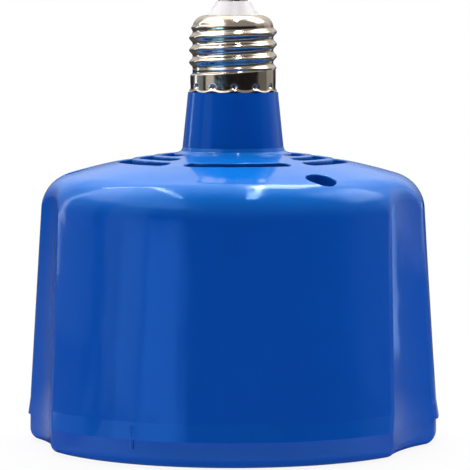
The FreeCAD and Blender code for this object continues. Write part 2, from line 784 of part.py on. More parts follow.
MOTOR_REAR = "(motor_front - motor_length)"
motor_can = turned_body("motor_can", [
    ("bush_radius + seat_gap", "motor_front - motor_sheet"),
    ("motor_radius - motor_sheet", "motor_front - motor_sheet"),
    ("motor_radius - motor_sheet", MOTOR_REAR),
    ("motor_radius", MOTOR_REAR),
    ("motor_radius", "motor_front"),
    ("motor_nose_radius", "motor_front"),
    ("motor_nose_radius", "motor_front + motor_nose_height"),
    ("bush_radius + seat_gap", "motor_front + motor_nose_height"),
])
tapping = level_sketch(motor_can, "tapping_section", "motor_front", "45")
circle(tapping, "motor_screw_circle", "0", "motor_screw_radius + thread_clearance")
tapping_cut = pocket(motor_can, tapping, "motor_tapping", "motor_sheet*2")
around(motor_can, [tapping_cut], "motor_tappings", 2)

END_CAP_FOOT = f"({MOTOR_REAR} - seat_gap - end_cap_thickness)"
turned_body("motor_end_cap", [
    ("bush_radius + seat_gap", f"{END_CAP_FOOT} - seat_gap"),
    ("motor_nose_radius", f"{END_CAP_FOOT} - seat_gap"),
    ("motor_nose_radius + 1", END_CAP_FOOT),
    ("motor_radius", END_CAP_FOOT),
    ("motor_radius", f"{MOTOR_REAR} - seat_gap"),
    ("motor_radius - motor_sheet - seat_gap", f"{MOTOR_REAR} - seat_gap"),
    ("motor_radius - motor_sheet - seat_gap", f"{MOTOR_REAR} + end_cap_plug"),
    ("bush_radius + seat_gap", f"{MOTOR_REAR} + end_cap_plug"),
])
for label, top in (("front_bush", "(motor_front + motor_nose_height)"),
                   ("rear_bush", f"({MOTOR_REAR} + end_cap_plug)")):
    turned_body(label, box_corners("shaft_radius + shaft_clearance", "bush_radius",
                                   f"{top} - bush_length", top))

MAGNET_OUTER = "(motor_radius - motor_sheet - seat_gap)"
ARMATURE_MIDDLE = f"({MOTOR_REAR} + end_cap_plug + commutator_height + armature_height/2 + 2.5)"
field_magnets = new_body("field_magnets")
arc = upright_sketch(field_magnets, "magnet_section", "0")
outline(arc, box_corners(f"{MAGNET_OUTER} - magnet_thickness", MAGNET_OUTER,
                         f"{ARMATURE_MIDDLE} - magnet_height/2",
                         f"{ARMATURE_MIDDLE} + magnet_height/2"))
magnet = turn(field_magnets, arc, "magnet", angle="magnet_extent")
around(field_magnets, [magnet], "magnet_pair", 2)

motor_shaft = turned_body("motor_shaft", box_corners(
    "0", "shaft_radius", f"{END_CAP_FOOT} - seat_gap", "hub_foot + hub_height"))

armature = turned_body("armature", box_corners(
    "shaft_radius + seat_gap", "armature_radius",
    f"{ARMATURE_MIDDLE} - armature_height/2", f"{ARMATURE_MIDDLE} + armature_height/2"))
slot = level_sketch(armature, "armature_slot_section", f"{ARMATURE_MIDDLE} + armature_height/2", "30")
outline(slot, box_corners("armature_radius*0.45", "armature_radius*1.2",
                          "-armature_slot/2", "armature_slot/2"))
slot_cut = pocket(armature, slot, "armature_gap", "armature_height")
around(armature, [slot_cut], "armature_gaps", 3)

COMMUTATOR_FOOT = f"({MOTOR_REAR} + end_cap_plug + 1.2)"
turned_body("commutator", box_corners(
    "shaft_radius + seat_gap", "commutator_radius",
    COMMUTATOR_FOOT, f"{COMMUTATOR_FOOT} + commutator_height"))

# Fan

HUB_TOP = "(hub_foot + hub_height)"
fan_impeller = turned_body("fan_impeller", [
    ("shaft_radius + seat_gap", "hub_foot + hub_wall"),
    ("hub_boss_radius", "hub_foot + hub_wall"),
    ("hub_boss_radius", f"{HUB_TOP} - hub_wall"),
    ("hub_radius - hub_wall", f"{HUB_TOP} - hub_wall"),
    ("hub_radius - hub_wall", "hub_foot"),
    ("hub_radius", "hub_foot"),
    ("hub_radius", f"{HUB_TOP} - hub_wall"),
    ("hub_radius - hub_wall", HUB_TOP),
    ("shaft_radius + seat_gap", HUB_TOP),
])


def blade_section(place, distance):
    """Cambered section across the blade, tilted by its pitch."""
    sketch = facing_sketch(fan_impeller, f"blade_{place}", distance)
    chord = f"blade_{place}_chord"
    pitch = f"blade_{place}_pitch"
    edge = "blade_thickness/4"
    spots = [
        (f"-{chord}/2", f"-{edge}"),
        (f"-{chord}/4", "blade_camber*0.75 - blade_thickness/2"),
        (f"{chord}/5", "blade_camber*0.85 - blade_thickness/2"),
        (f"{chord}/2", f"-{edge}"),
        (f"{chord}/2", edge),
        (f"{chord}/5", "blade_camber*0.85 + blade_thickness/2"),
        (f"-{chord}/4", "blade_camber*0.75 + blade_thickness/2"),
        (f"-{chord}/2", edge),
    ]
    outline(sketch, [
        (f"({along})*cos({pitch}) - ({off})*sin({pitch})",
         f"hub_foot + hub_height/2 + ({along})*sin({pitch}) + ({off})*cos({pitch})")
        for along, off in spots
    ])
    return sketch


blade = fan_impeller.newObject("PartDesign::AdditiveLoft", "blade")
blade.Profile = blade_section("root", "hub_radius - hub_wall/2")
blade.Sections = [blade_section("tip", "blade_reach")]
blade.Ruled = True
around(fan_impeller, [blade], "blades", 7)

# Plain solids, placed by the sheet's values


def cylinder(name, radius, length, axis, across, depth, up):
    """Cylinder that starts at a point and runs along an axis."""
    item = doc.addObject("Part::Cylinder", name)
    bind(item, "Radius", radius)
    bind(item, "Height", length)
    item.Placement = FreeCAD.Placement(V(0, 0, 0), FreeCAD.Rotation(V(0, 0, 1), axis))
    place(item, across, depth, up)
    return item


def block(name, length, width, height, across, depth, up):
    item = doc.addObject("Part::Box", name)
    bind(item, "Length", length)
    bind(item, "Width", width)
    bind(item, "Height", height)
    place(item, across, depth, up)
    return item


def place(item, across, depth, up):
    bind(item, "Placement.Base.x", across)
    bind(item, "Placement.Base.y", depth)
    bind(item, "Placement.Base.z", up)


def group(label, items):
    bundle = doc.addObject("Part::Compound", label)
    bundle.Label = label
    bundle.Links = items
    return bundle


def torus(name, radius, wire, level):
    item = doc.addObject("Part::Torus", name)
    bind(item, "Radius1", radius)
    bind(item, "Radius2", wire)
    bind(item, "Placement.Base.z", level)
    return item


# Heater: steel sleeve, mica liner, crossed boards and the coil

SLEEVE_FOOT = "(cover_floor + guard_rim_wire*2 + seat_gap*2)"
HEATER_TOP = "(heater_foot + heater_height)"
WINDOW_TOP = "(duct_foot - 1)"


def window(body):
    """Opening at the rear for the two leads."""
    sketch = upright_sketch(body, body.Label + "_window_section", "180")
    outline(sketch, box_corners("duct_bore - 3", "duct_bore + 3",
                                f"{WINDOW_TOP} - window_height", WINDOW_TOP))
    turn(body, sketch, body.Label + "_window", "PartDesign::Groove", "window_extent")


SLEEVE_BORE = "(duct_bore + sleeve_gap)"
heat_sleeve = turned_body("heat_sleeve", [
    (SLEEVE_BORE, SLEEVE_FOOT),
    (f"{SLEEVE_BORE} + sleeve_flange", SLEEVE_FOOT),
    (f"{SLEEVE_BORE} + sleeve_flange", f"{SLEEVE_FOOT} + sleeve_sheet"),
    (f"{SLEEVE_BORE} + sleeve_sheet", f"{SLEEVE_FOOT} + sleeve_sheet"),
    (f"{SLEEVE_BORE} + sleeve_sheet", "duct_foot + duct_rebate - seat_gap"),
    (SLEEVE_BORE, "duct_foot + duct_rebate - seat_gap"),
])
window(heat_sleeve)
LINER_BORE = f"({SLEEVE_BORE} - sleeve_gap - liner_sheet)"
mica_liner = turned_body("mica_liner", box_corners(
    LINER_BORE, f"{SLEEVE_BORE} - sleeve_gap", f"{SLEEVE_FOOT} + seat_gap", HEATER_TOP))
window(mica_liner)


def board_edge(side, quarter):
    """Corners up one edge of a board, with a notch for each pass of the coil."""
    reach = f"{side}board_reach"
    bed = f"{side}(coil_radius - coil_wire_radius - board_fit)"
    tab = f"{side}({LINER_BORE} - board_fit)"
    room = "(coil_wire_radius + board_fit)"
    corners = [
        (tab, "heater_foot"),
        (tab, "heater_foot + board_tab"),
        (reach, "heater_foot + board_tab"),
    ]
    passes = int(size("coil_turns") - quarter) + 1
    for number in range(passes):
        level = f"coil_foot + coil_pitch*{number + quarter}"
        corners += [
            (reach, f"{level} - {room}"),
            (bed, f"{level} - {room}"),
            (bed, f"{level} + {room}"),
            (reach, f"{level} + {room}"),
        ]
    corners += [
        (reach, f"{HEATER_TOP} - board_tab"),
        (tab, f"{HEATER_TOP} - board_tab"),
        (tab, HEATER_TOP),
    ]
    return corners


def mica_board(label, role, quarters, slot_above):
    """Upright board with a recess for the motor and half a lap slot at its middle."""
    body = new_body(label)
    sketch = facing_sketch(body, label + "_outline", "0", role)
    half = "(board_sheet/2 + board_fit)"
    lap = "(heater_foot + (board_recess_floor - heater_foot)/2)"
    right = board_edge("", quarters[0])
    left = list(reversed(board_edge("-", quarters[1])))
    recess = [("board_recess_radius", HEATER_TOP), ("board_recess_radius", "board_recess_floor")]
    recess_back = [("-board_recess_radius", "board_recess_floor"), ("-board_recess_radius", HEATER_TOP)]
    mouth = "board_recess_floor" if slot_above else "heater_foot"
    lap_slot = [(half, mouth), (half, lap), (f"-{half}", lap), (f"-{half}", mouth)]
    if slot_above:
        corners = right + recess + lap_slot + recess_back + left
    else:
        corners = right + recess + recess_back + left + lap_slot[::-1]
    outline(sketch, corners)
    pad(body, sketch, label + "_sheet", "board_sheet", True)
    holes = facing_sketch(body, label + "_holes", "board_sheet", role)
    for side in ("", "-"):
        circle(holes, f"{side}eyelet_reach", f"{HEATER_TOP} - board_tab*2", "eyelet_radius + seat_gap")
    pocket(body, holes, label + "_eyelet_holes", "board_sheet*2")
    return body


# The coil rises by a quarter of its pitch from one board edge to the next,
# starting at +X and turning towards +Y.
mica_board("mica_board_wide", "XZ_Plane", (0.0, 0.5), True)
mica_board("mica_board_deep", "YZ_Plane", (0.25, 0.75), False)

# Each half turn is a ring arc that leans, so that its ends are half a pitch
# apart. The arcs meet with level tangents.
COIL_ARC = "sqrt(coil_radius^2 + coil_pitch^2/16)"
COIL_LEAN = f"asin(coil_pitch/4/{COIL_ARC})"
coil_arcs = []
for number in range(math.ceil(2 * size("coil_turns"))):
    arc = torus(f"coil_arc_{number}", COIL_ARC, "coil_wire_radius", "coil_foot")
    bind(arc, "Angle3", f"180*min(1; 2*coil_turns - {number})")
    lean = COIL_LEAN if number % 2 == 0 else f"-{COIL_LEAN}"
    level = f"coil_foot + coil_pitch*{(number + 0.5) / 2}"
    bind(arc, "Placement",
         f"placement(vector(0; 0; {level}); rotation(vector(0; 1; 0); {lean}))"
         f" * placement(vector(0; 0; 0); rotation(vector(0; 0; 1); {180 * number}))")
    coil_arcs.append(arc)
coil = doc.addObject("Part::MultiFuse", "heating_coil")
coil.Label = "heating_coil"
coil.Shapes = coil_arcs

# Small parts on the boards

EYELET_LEVEL = f"({HEATER_TOP} - board_tab*2)"
EYELET_LENGTH = "(board_sheet + eyelet_height*2)"
eyelets = []
for side in ("", "-"):
    eyelets.append(cylinder(f"eyelet_wide_{len(eyelets)}", "eyelet_radius", EYELET_LENGTH, V(0, 1, 0),
                            f"{side}eyelet_reach", f"-{EYELET_LENGTH}/2", EYELET_LEVEL))
    eyelets.append(cylinder(f"eyelet_deep_{len(eyelets)}", "eyelet_radius", EYELET_LENGTH, V(1, 0, 0),
                            f"-{EYELET_LENGTH}/2", f"{side}eyelet_reach", EYELET_LEVEL))
group("coil_eyelets", eyelets)

BOARD_FACE = "(board_sheet/2 + seat_gap)"
fuse = cylinder("thermal_fuse", "fuse_radius", "fuse_length", V(1, 0, 0),
                "board_recess_radius + 1.5", f"-({BOARD_FACE} + fuse_radius)",
                "heater_foot + heater_height/2")
fuse.Label = "thermal_fuse"

CUTOUT_NEAR = "-(board_recess_radius + 2 + cutout_length)"
CUTOUT_FOOT = "(heater_foot + 3)"
cutout_base = block("cutout_base", "cutout_length", "cutout_height", "cutout_width",
                    CUTOUT_NEAR, f"-({BOARD_FACE} + cutout_height)", CUTOUT_FOOT)
cutout_base.Label = "cutout_base"
BLADE_FACE = f"-({BOARD_FACE} + cutout_height + seat_gap + blade_strip)"
cutout_blade = block("cutout_blade", "blade_strip_length", "blade_strip", "cutout_width*0.7",
                     CUTOUT_NEAR, BLADE_FACE, f"{CUTOUT_FOOT} + cutout_width*0.15")
cutout_blade.Label = "cutout_blade"
cutout_contact = block("cutout_contact", "blade_strip_length*0.3", "blade_strip", "cutout_width*0.7",
                       f"{CUTOUT_NEAR} + blade_strip_length*0.7",
                       f"-({BOARD_FACE} + cutout_height - blade_strip)",
                       f"{CUTOUT_FOOT} + cutout_width*0.15")
cutout_contact.Label = "cutout_contact"

RECTIFIER_TOP = f"({END_CAP_FOOT} - rectifier_drop)"
turned_body("rectifier_board", box_corners(
    "0", "rectifier_radius", f"{RECTIFIER_TOP} - rectifier_thickness", RECTIFIER_TOP))
diodes = []
for number in range(4):
    across = f"diode_pitch*{number - 1.5}"
    diodes.append(cylinder(f"diode_{number}", "diode_radius", "diode_length", V(0, 1, 0), across,
                           "-rectifier_radius*0.75", f"{RECTIFIER_TOP} + diode_radius + seat_gap"))
group("diodes", diodes)
capacitor = block("filter_capacitor", "capacitor_length", "capacitor_width", "capacitor_height",
                  "-capacitor_length/2", "rectifier_radius*0.4", f"{RECTIFIER_TOP} + seat_gap")
capacitor.Label = "filter_capacitor"

# Outlet guard: welded wire rings on three cross wires

GUARD_LEVEL = "(cover_floor + guard_rim_wire + seat_gap)"
wires = [torus("guard_rim", "guard_rim_radius", "guard_rim_wire", GUARD_LEVEL)]
for number in range(1, 6):
    wires.append(torus(f"guard_ring_{number}", f"guard_pitch*{number}", "guard_wire",
                       f"{GUARD_LEVEL} - guard_wire*1.5"))
for number in range(3):
    wire = doc.addObject("Part::Cylinder", f"guard_cross_{number}")
    bind(wire, "Radius", "guard_wire")
    bind(wire, "Height", "guard_rim_radius*2")
    spin = FreeCAD.Rotation(V(0, 0, 1), 60 * number) * FreeCAD.Rotation(V(0, 1, 0), 90)
    wire.Placement = FreeCAD.Placement(V(0, 0, 0), spin)
    angle = 60 * number
    bind(wire, "Placement.Base.x", f"-guard_rim_radius*cos({angle})")
    bind(wire, "Placement.Base.y", f"-guard_rim_radius*sin({angle})")
    bind(wire, "Placement.Base.z", GUARD_LEVEL)
    wires.append(wire)
guard = doc.addObject("Part::MultiFuse", "outlet_guard")
guard.Label = "outlet_guard"
guard.Shapes = wires

# Leads from the cap to the boards

doc.recompute()


def rounded_path(points):
    """Straight runs through the points, joined by tangent arcs as large as they allow."""
    edges = []
    radii = []
    start = points[0]
    for i in range(1, len(points) - 1):
        here = points[i]
        back = points[i - 1] - here
        ahead = points[i + 1] - here
        half_turn = (math.pi - back.getAngle(ahead)) / 2
        trim = 0.45 * min(back.Length, ahead.Length)
        radii.append(trim / math.tan(half_turn))
        first = here + back.normalize() * trim
        last = here + ahead.normalize() * trim
        inward = (back + ahead).normalize()
        middle = here + inward * (radii[-1] / math.cos(half_turn) - radii[-1])
        edges.append(Part.LineSegment(start, first).toShape())
        edges.append(Part.Arc(first, middle, last).toShape())
        start = last
    edges.append(Part.LineSegment(start, points[-1]).toShape())
    return Part.Wire(edges), radii


def lead(label, points):
    path, radii = rounded_path(points)
    start = (points[1] - points[0]).normalize()
    section = Part.Wire(Part.makeCircle(size("lead_radius"), points[0], start))
    item = doc.addObject("Part::Feature", label)
    item.Label = label
    item.Shape = path.makePipeShell([section], True, False)
    print(label, "radii", [round(r, 1) for r in radii])


def at(azimuth, radius, level):
    angle = math.radians(azimuth - 90)
    return V(radius * math.cos(angle), radius * math.sin(angle), level)


neck_top = size("crown_height") + size("neck_height")
collar_top = neck_top + size("cap_collar_height")
thread_top = collar_top + size("cap_thread_height")
under_crown = size("duct_top") + 2.6
window_level = size("duct_foot") - 1 - size("window_height") / 2
down = size("lead_circle")
live = 180 - size("lead_azimuth")
neutral = 180 + size("lead_azimuth")
lead("live_lead", [
    V(0, 0, thread_top + size("cap_nose_height") - 0.1),
    V(0.5, 0.5, collar_top + 4),
    V(2.0, 2.5, neck_top - 3),
    V(2.5, 7.0, size("crown_height") - 2),
    at(live + 1, 24.0, under_crown + 0.5),
    at(live, down, under_crown - 1.5),
    at(live, down + 1.2, (under_crown + window_level) / 2),
    at(live, down, window_level),
    at(live, size("coil_radius") + 4.5, window_level - 0.5),
])
lead("neutral_lead", [
    V(-size("cap_root_radius") + size("cap_sheet") + size("lead_radius") + 0.15, 0, collar_top + 9),
    V(-8.0, 1.0, collar_top),
    V(-4.5, 3.5, neck_top - 6),
    V(-3.5, 8.0, size("crown_height") - 2),
    at(neutral - 1, 24.0, under_crown + 0.5),
    at(neutral, down, under_crown - 1.5),
    at(neutral, down + 1.2, (under_crown + window_level) / 2),
    at(neutral, down, window_level),
    at(neutral, size("coil_radius") + 4.5, window_level - 0.5),
])

# Check and write every piece

NODES = [
    "housing", "bottom_cover", "outlet_guard", "case_screws",
    "cap_shell", "cap_insulator", "centre_contact", "live_lead", "neutral_lead",
    "fan_duct", "duct_screws", "motor_can", "motor_end_cap", "motor_screws",
    "front_bush", "rear_bush", "field_magnets", "motor_shaft", "armature", "commutator",
    "fan_impeller", "heat_sleeve", "mica_liner", "mica_board_wide", "mica_board_deep",
    "heating_coil", "coil_eyelets", "thermal_fuse", "cutout_base", "cutout_blade",
    "cutout_contact", "rectifier_board", "diodes", "filter_capacitor",
]

doc.recompute()
for thing in doc.Objects:
    if "Invalid" in thing.State or "Error" in thing.State:
        raise RuntimeError(f"{thing.Label} failed: {thing.State}")
for label in NODES:
    shape = doc.getObjectsByLabel(label)[0].Shape
    if shape.isNull() or not shape.isValid() or not shape.Solids:
        raise RuntimeError(f"{label} has no valid solid")
for label in NODES:
    doc.getObjectsByLabel(label)[0].Shape.exportStep(f"parts/{label}.step")
print(len(NODES), "nodes written")
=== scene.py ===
"""Looks of the screw-in warming lamp: camera, studio, materials and the threaded cap.

Lengths are in metres, except in the screw cap's section and the table of sink marks,
which are in millimetres.
"""
import json
import math

import bpy
from mathutils import Matrix, Vector


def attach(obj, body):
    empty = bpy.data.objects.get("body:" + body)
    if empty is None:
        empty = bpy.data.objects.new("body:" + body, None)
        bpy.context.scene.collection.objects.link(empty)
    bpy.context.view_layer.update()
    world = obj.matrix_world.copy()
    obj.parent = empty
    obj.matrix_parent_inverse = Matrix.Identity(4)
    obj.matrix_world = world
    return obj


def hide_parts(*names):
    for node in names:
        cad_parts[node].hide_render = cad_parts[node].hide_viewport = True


MM = 0.001

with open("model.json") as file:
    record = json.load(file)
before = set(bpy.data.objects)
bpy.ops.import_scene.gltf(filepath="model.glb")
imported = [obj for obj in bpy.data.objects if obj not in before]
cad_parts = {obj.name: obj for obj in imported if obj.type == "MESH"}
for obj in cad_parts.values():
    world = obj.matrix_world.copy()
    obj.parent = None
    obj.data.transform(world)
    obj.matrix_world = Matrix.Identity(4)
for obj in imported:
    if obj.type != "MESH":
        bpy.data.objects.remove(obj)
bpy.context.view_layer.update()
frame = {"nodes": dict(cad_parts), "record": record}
nodes = frame["nodes"]
scene = bpy.context.scene
scene.view_settings.view_transform = "Standard"


# Camera: the photograph's place, a little above the lamp

CAMERA_PLACE = (0.0006, -0.88, 0.1275)
CAMERA_TARGET = (0.0006, 0, 0.0615)


def aim(thing, place, target):
    thing.location = place
    thing.rotation_euler = (Vector(target) - Vector(place)).to_track_quat("-Z", "Y").to_euler()


camera_data = bpy.data.cameras.new("camera")
camera = bpy.data.objects.new("camera", camera_data)
scene.collection.objects.link(camera)
camera_data.sensor_fit = "HORIZONTAL"
camera_data.sensor_width = 36.0
camera_data.lens = 225.7
camera_data.clip_start = 0.05
camera_data.clip_end = 20
aim(camera, CAMERA_PLACE, CAMERA_TARGET)
scene.camera = camera


# Node helpers. Those that make a value or a shader return its output socket.

def node_tree(owner):
    """The emptied node tree of a material or world."""
    owner.use_nodes = True
    owner.node_tree.nodes.clear()
    return owner.node_tree


def joined(tree, kind, *sources):
    """Output of a new node that takes the sources in the order of its inputs."""
    node = tree.nodes.new(kind)
    for socket, source in zip(node.inputs, sources):
        tree.links.new(source, socket)
    return node.outputs[0]


def show(tree, kind, shader):
    """Send a shader to a new output node of the tree."""
    tree.links.new(shader, tree.nodes.new(kind).inputs["Surface"])


def ramp(tree, source, start, end, low, high, interpolation="LINEAR"):
    """Value that goes from low to high as the source goes from start to end."""
    node = tree.nodes.new("ShaderNodeMapRange")
    node.interpolation_type = interpolation
    limits = {"From Min": start, "From Max": end, "To Min": low, "To Max": high}
    for label, value in limits.items():
        node.inputs[label].default_value = value
    tree.links.new(source, node.inputs["Value"])
    return node.outputs["Result"]


def folded(tree, operation, *sources):
    """Sum, product or maximum of two or more values."""
    result = sources[0]
    for source in sources[1:]:
        node = tree.nodes.new("ShaderNodeMath")
        node.operation = operation
        tree.links.new(result, node.inputs[0])
        tree.links.new(source, node.inputs[1])
        result = node.outputs[0]
    return result


def on_vector(tree, operation, source, constant=None):
    """Vector maths on a socket and, for all but the length, a constant vector."""
    node = tree.nodes.new("ShaderNodeVectorMath")
    node.operation = operation
    tree.links.new(source, node.inputs[0])
    if operation == "LENGTH":
        return node.outputs["Value"]
    node.inputs[1].default_value = constant
    return node.outputs["Vector"]


def place_on(tree):
    """The shaded point in the object's own frame."""
    return tree.nodes.new("ShaderNodeTexCoord").outputs["Object"]


def one_colour(tree, kind, colour, strength=None):
    """Background, emission or matt shader. Its strength may vary over the surface."""
    node = tree.nodes.new("ShaderNode" + kind)
    node.inputs["Color"].default_value = (*colour, 1)
    if strength is not None:
        tree.links.new(strength, node.inputs["Strength"])
    return node.outputs[0]


# Sky. The camera sees plain white. The light that the room throws on the lamp is weaker
# on the camera's side than behind the lamp. Its reflection is white behind the lamp, above
# the dark line where the room meets the table, and the ceiling is lit at both sides.

WHITE = (1, 1, 1)

world = bpy.data.worlds.new("studio")
scene.world = world
sky = node_tree(world)
direction = sky.nodes.new("ShaderNodeTexCoord").outputs["Generated"]
direction_parts = sky.nodes.new("ShaderNodeSeparateXYZ")
sky.links.new(direction, direction_parts.inputs[0])


def sky_ramp(axis, start, end, low, high):
    """Value that eases from low to high along one axis of the direction."""
    if start > end:
        start, end, low, high = end, start, high, low
    return ramp(sky, direction_parts.outputs[axis], start, end, low, high, "SMOOTHSTEP")


fill_light = sky_ramp("Y", -0.35, 0.6, 0.03, 0.35)
above_table = folded(sky, "MULTIPLY", sky_ramp("Y", 0.4, 0.98, 0.04, 0.7),
                     sky_ramp("Z", 0.02, 0.28, 0.3, 1.0))
upper_room = sky_ramp("Z", 0.10, 0.50, 0.0, 0.35)
behind = folded(sky, "MULTIPLY", sky_ramp("Z", 0.5, 0.75, 0.0, 1.3),
                sky_ramp("Y", -0.2, 0.2, 0.0, 1.0))
left_glow = folded(sky, "MULTIPLY", sky_ramp("X", -0.25, -0.50, 0.0, 3.1),
                   sky_ramp("Z", 0.45, 0.65, 0.0, 1.0), sky_ramp("Y", 0.52, 0.42, 0.0, 1.0))
right_glow = folded(sky, "MULTIPLY", sky_ramp("X", 0.35, 0.55, 0.0, 4.2),
                    sky_ramp("Z", 0.45, 0.62, 0.0, 1.0), sky_ramp("Y", 0.55, 0.45, 0.0, 1.0),
                    sky_ramp("Y", -0.2, 0.1, 0.0, 1.0))
reflected_light = folded(sky, "ADD", above_table, upper_room, behind, left_glow, right_glow)

sky_ray = sky.nodes.new("ShaderNodeLightPath").outputs
sharp_ray = folded(sky, "MAXIMUM", sky_ray["Is Glossy Ray"], sky_ray["Is Transmission Ray"])
unseen_sky = joined(sky, "ShaderNodeMixShader", sharp_ray,
                    one_colour(sky, "Background", (0.90, 0.70, 1.0), fill_light),
                    one_colour(sky, "Background", (1.0, 0.96, 0.92), reflected_light))
whole_sky = joined(sky, "ShaderNodeMixShader", sky_ray["Is Camera Ray"], unseen_sky,
                   one_colour(sky, "Background", WHITE))
show(sky, "ShaderNodeOutputWorld", whole_sky)


# Lights. Each has a role: "shading" lights surfaces and isn't mirrored in them, "mirrored"
# is the other way round. Upright boxes that are mirrored stand nearer than those that
# shade, so that none hides another.

SHADING_DISTANCE = 1.3
MIRRORED_DISTANCE = 1.2
STRIP_DISTANCE = 1.1
BOX_LEVEL = 0.30
BOX_HEIGHT = 1.3
CARD_LEVEL = 0.038
CARD_HEIGHT = 0.08
CEILING_DISTANCE = 1.1
CROWN = Vector((0, 0, 0.08))
SHADE_COLOUR = (0.85, 0.80, 1.0)
WARM = (1.0, 0.95, 0.90)


def area_light(name, place, target, width, height, radiance, colour, role):
    data = bpy.data.lights.new(name, "AREA")
    data.shape = "RECTANGLE"
    data.size = width
    data.size_y = height
    data.energy = radiance * math.pi * width * height
    data.color = colour
    light = bpy.data.objects.new(name, data)
    scene.collection.objects.link(light)
    light.visible_camera = False
    light.visible_diffuse = role == "shading"
    light.visible_glossy = role == "mirrored"
    aim(light, place, target)
    return light


def upright_box(name, azimuth, distance, level, width, height, radiance, colour, role):
    """Light at an azimuth in degrees from the front, that faces the lamp."""
    turn = math.radians(azimuth)
    place = (distance * math.sin(turn), -distance * math.cos(turn), level)
    area_light(name, place, (0, 0, level), width, height, radiance, colour, role)


def ceiling_box(name, first, last, width, radiance, role):
    """Light above the crown, that runs from one direction to another."""
    start = CROWN + Vector(first).normalized() * CEILING_DISTANCE
    end = CROWN + Vector(last).normalized() * CEILING_DISTANCE
    middle = (start + end) / 2
    light = area_light(name, middle, CROWN, (end - start).length, width, radiance, WHITE, role)
    outward = (middle - CROWN).normalized()
    across = outward.cross(end - start).normalized()
    along = across.cross(outward)
    light.rotation_euler = Matrix((along, across, outward)).transposed().to_euler()


ceiling_box("overhead_box", (-0.55, 0.45, 0.87), (0.55, 0.45, 0.87), 0.9, 5.0, "shading")
ceiling_box("middle_box", (-0.3, -0.10, 0.95), (0.3, -0.10, 0.95), 0.45, 8.0, "shading")
for name, azimuth, width in (("left_fill", -80, 1.1), ("right_fill", 100, 0.9)):
    upright_box(name, azimuth, SHADING_DISTANCE, BOX_LEVEL, width, BOX_HEIGHT, 0.9,
                SHADE_COLOUR, "shading")

# What the crown mirrors: two tube lamps, the end of a rail and a window patch
ceiling_box("left_tube", (-0.30, 0.42, 0.86), (-0.36, -0.30, 0.88), 0.032, 28.0, "mirrored")
ceiling_box("left_rail", (-0.52, 0.47, 0.71), (-0.30, 0.45, 0.84), 0.028, 18.0, "mirrored")
ceiling_box("right_tube", (0.06, 0.50, 0.865), (0.125, -0.42, 0.90), 0.06, 32.0, "mirrored")
ceiling_box("window_patch", (0.19, 0.30, 0.93), (0.17, 0.60, 0.78), 0.25, 10.0, "mirrored")

# What the foot of the wall mirrors: cards close to the lamp
for name, azimuth, distance, width, radiance, colour in (
        ("left_card", -37.0, 0.30, 0.09, 1.9, (0.35, 0.66, 1.0)),
        ("left_card_wide", -43.5, 0.31, 0.21, 1.7, (0.35, 0.64, 1.0)),
        ("right_card", 140.0, 0.30, 0.09, 1.0, (0.40, 0.65, 1.0))):
    upright_box(name, azimuth, distance, CARD_LEVEL, width, CARD_HEIGHT, radiance, colour,
                "mirrored")

# What the wall and the cap mirror further out, and a strip beside the left flute
for name, azimuth, width, radiance, colour in (
        ("left_box", -65, 0.55, 0.8, (1.0, 0.95, 0.88)),
        ("left_box_end", -108, 0.9, 0.35, (0.75, 0.88, 1.0)),
        ("right_box", 85, 0.6, 0.2, WARM),
        ("right_box_end", 120, 0.8, 0.45, WARM)):
    upright_box(name, azimuth, MIRRORED_DISTANCE, BOX_LEVEL, width, BOX_HEIGHT, radiance,
                colour, "mirrored")
upright_box("left_strip", -119, STRIP_DISTANCE, BOX_LEVEL, 0.09, 1.2, 3.5, (0.78, 0.90, 1.0),
            "mirrored")


# Floor

FLOOR_CORNERS = [(-6, -4), (6, -4), (6, 8), (-6, 8)]
FLOOR_DEPTH = 0.2 * MM  # below the foot, so that the two surfaces never coincide


